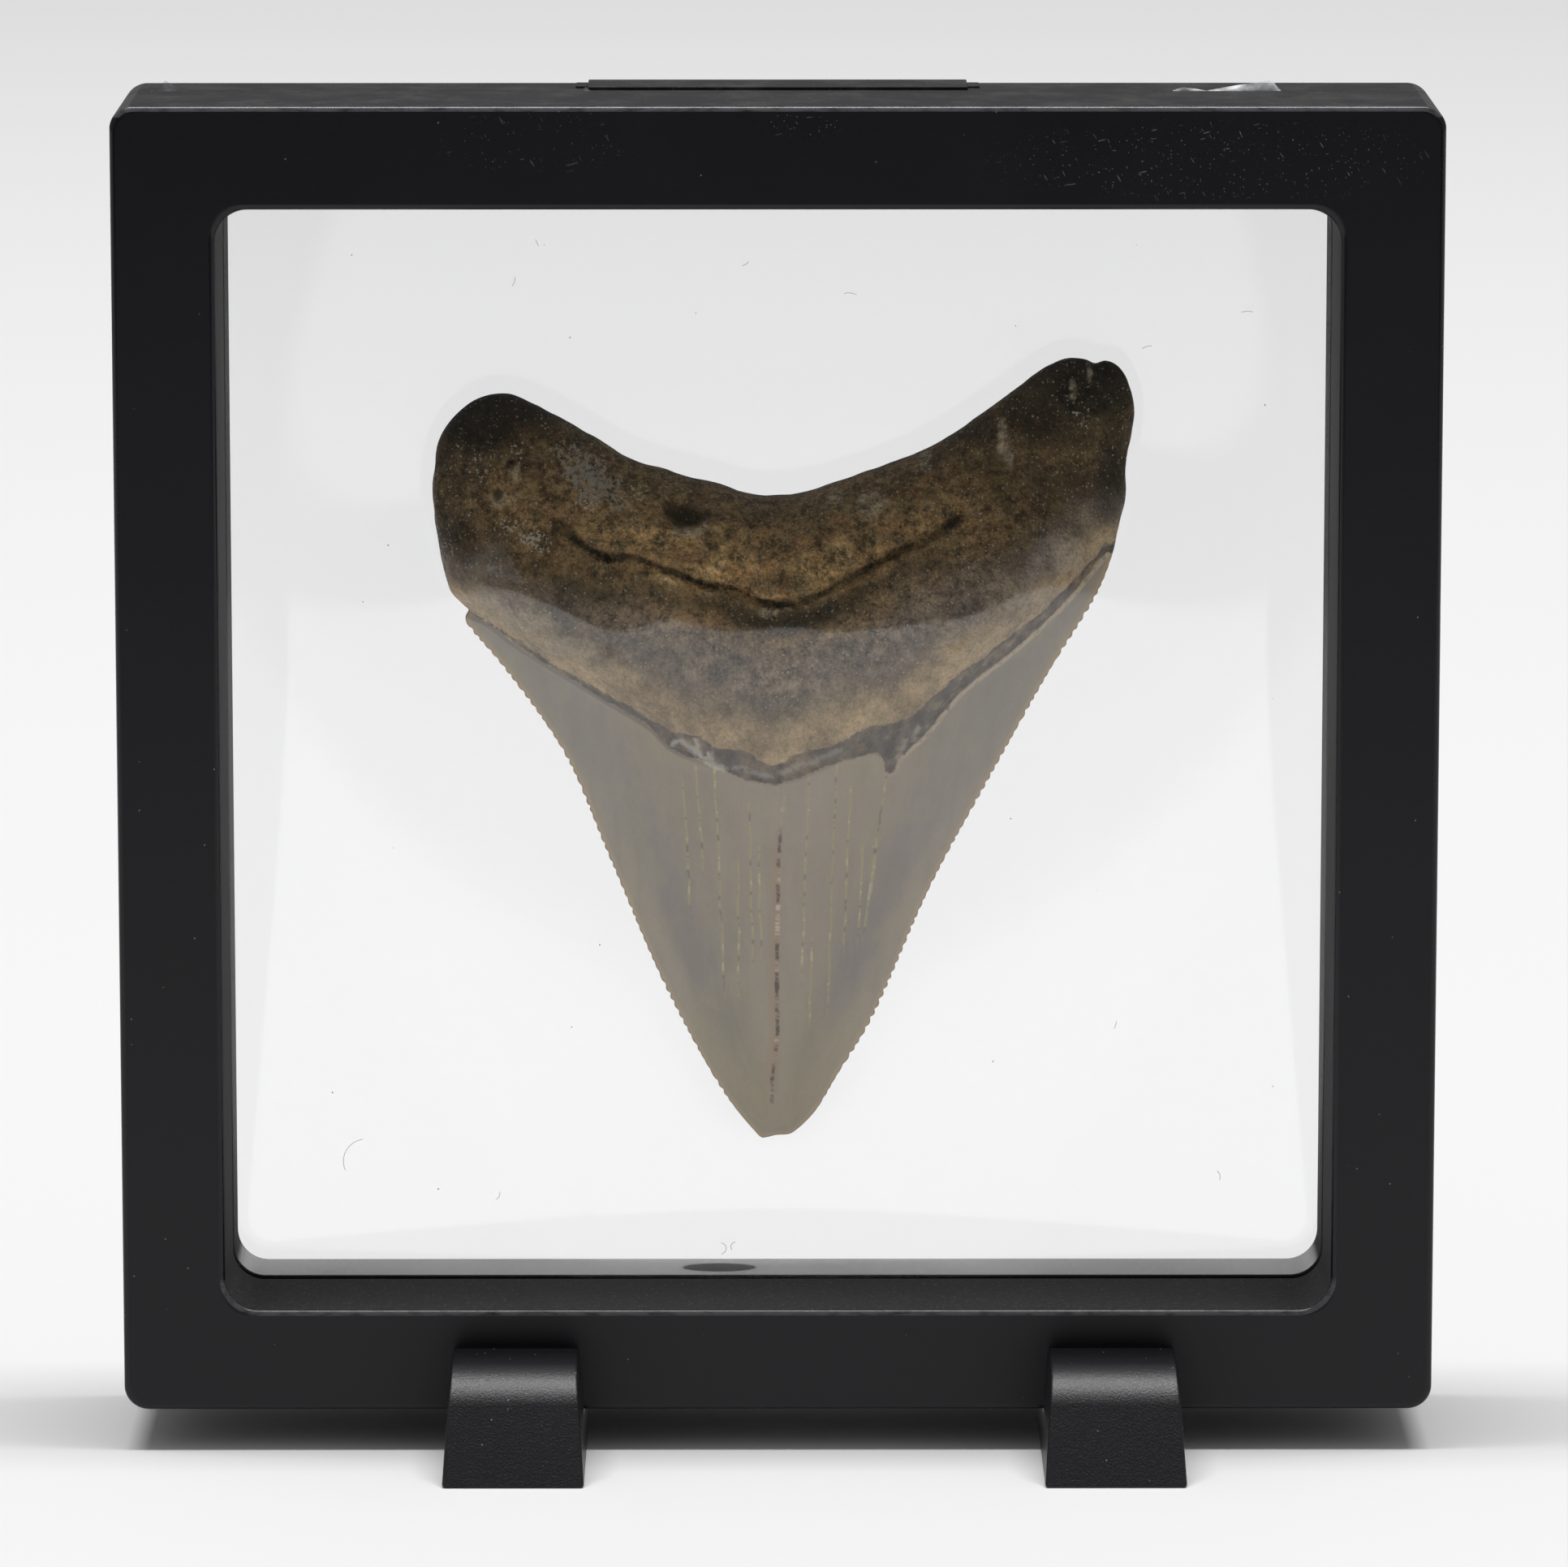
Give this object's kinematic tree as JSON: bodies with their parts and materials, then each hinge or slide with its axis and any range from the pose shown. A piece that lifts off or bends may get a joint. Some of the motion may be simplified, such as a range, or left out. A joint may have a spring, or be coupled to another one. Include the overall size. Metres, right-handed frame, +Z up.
{
  "type": "megalodon tooth in a floating display frame",
  "caption": "Fossil shark tooth held point down between two clear stretch films, in a square two-part black frame that stands in two slotted feet.",
  "frame": {"origin": "on the surface that it stands on, below the middle of the frame", "axes": "+Z up, the front faces -Y, +X to the right seen from the front"},
  "size_m": [0.11, 0.0466, 0.1138],
  "materials": {
    "frame_plastic": "black moulded plastic, satin, with dust and short scuffs",
    "foot_plastic": "black moulded plastic with a fine spark-eroded grain",
    "clear_film": "clear stretch film, glossy, with a few specks",
    "fossil": "grey-brown satin enamel on the crown, rough dark brown root"
  },
  "bodies": {
    "root": {"front_frame": "frame_plastic", "back_frame": "frame_plastic", "front_film": "clear_film", "back_film": "clear_film", "tooth": "fossil", "foot_left": "foot_plastic", "foot_right": "foot_plastic"}
  },
  "joints": []
}
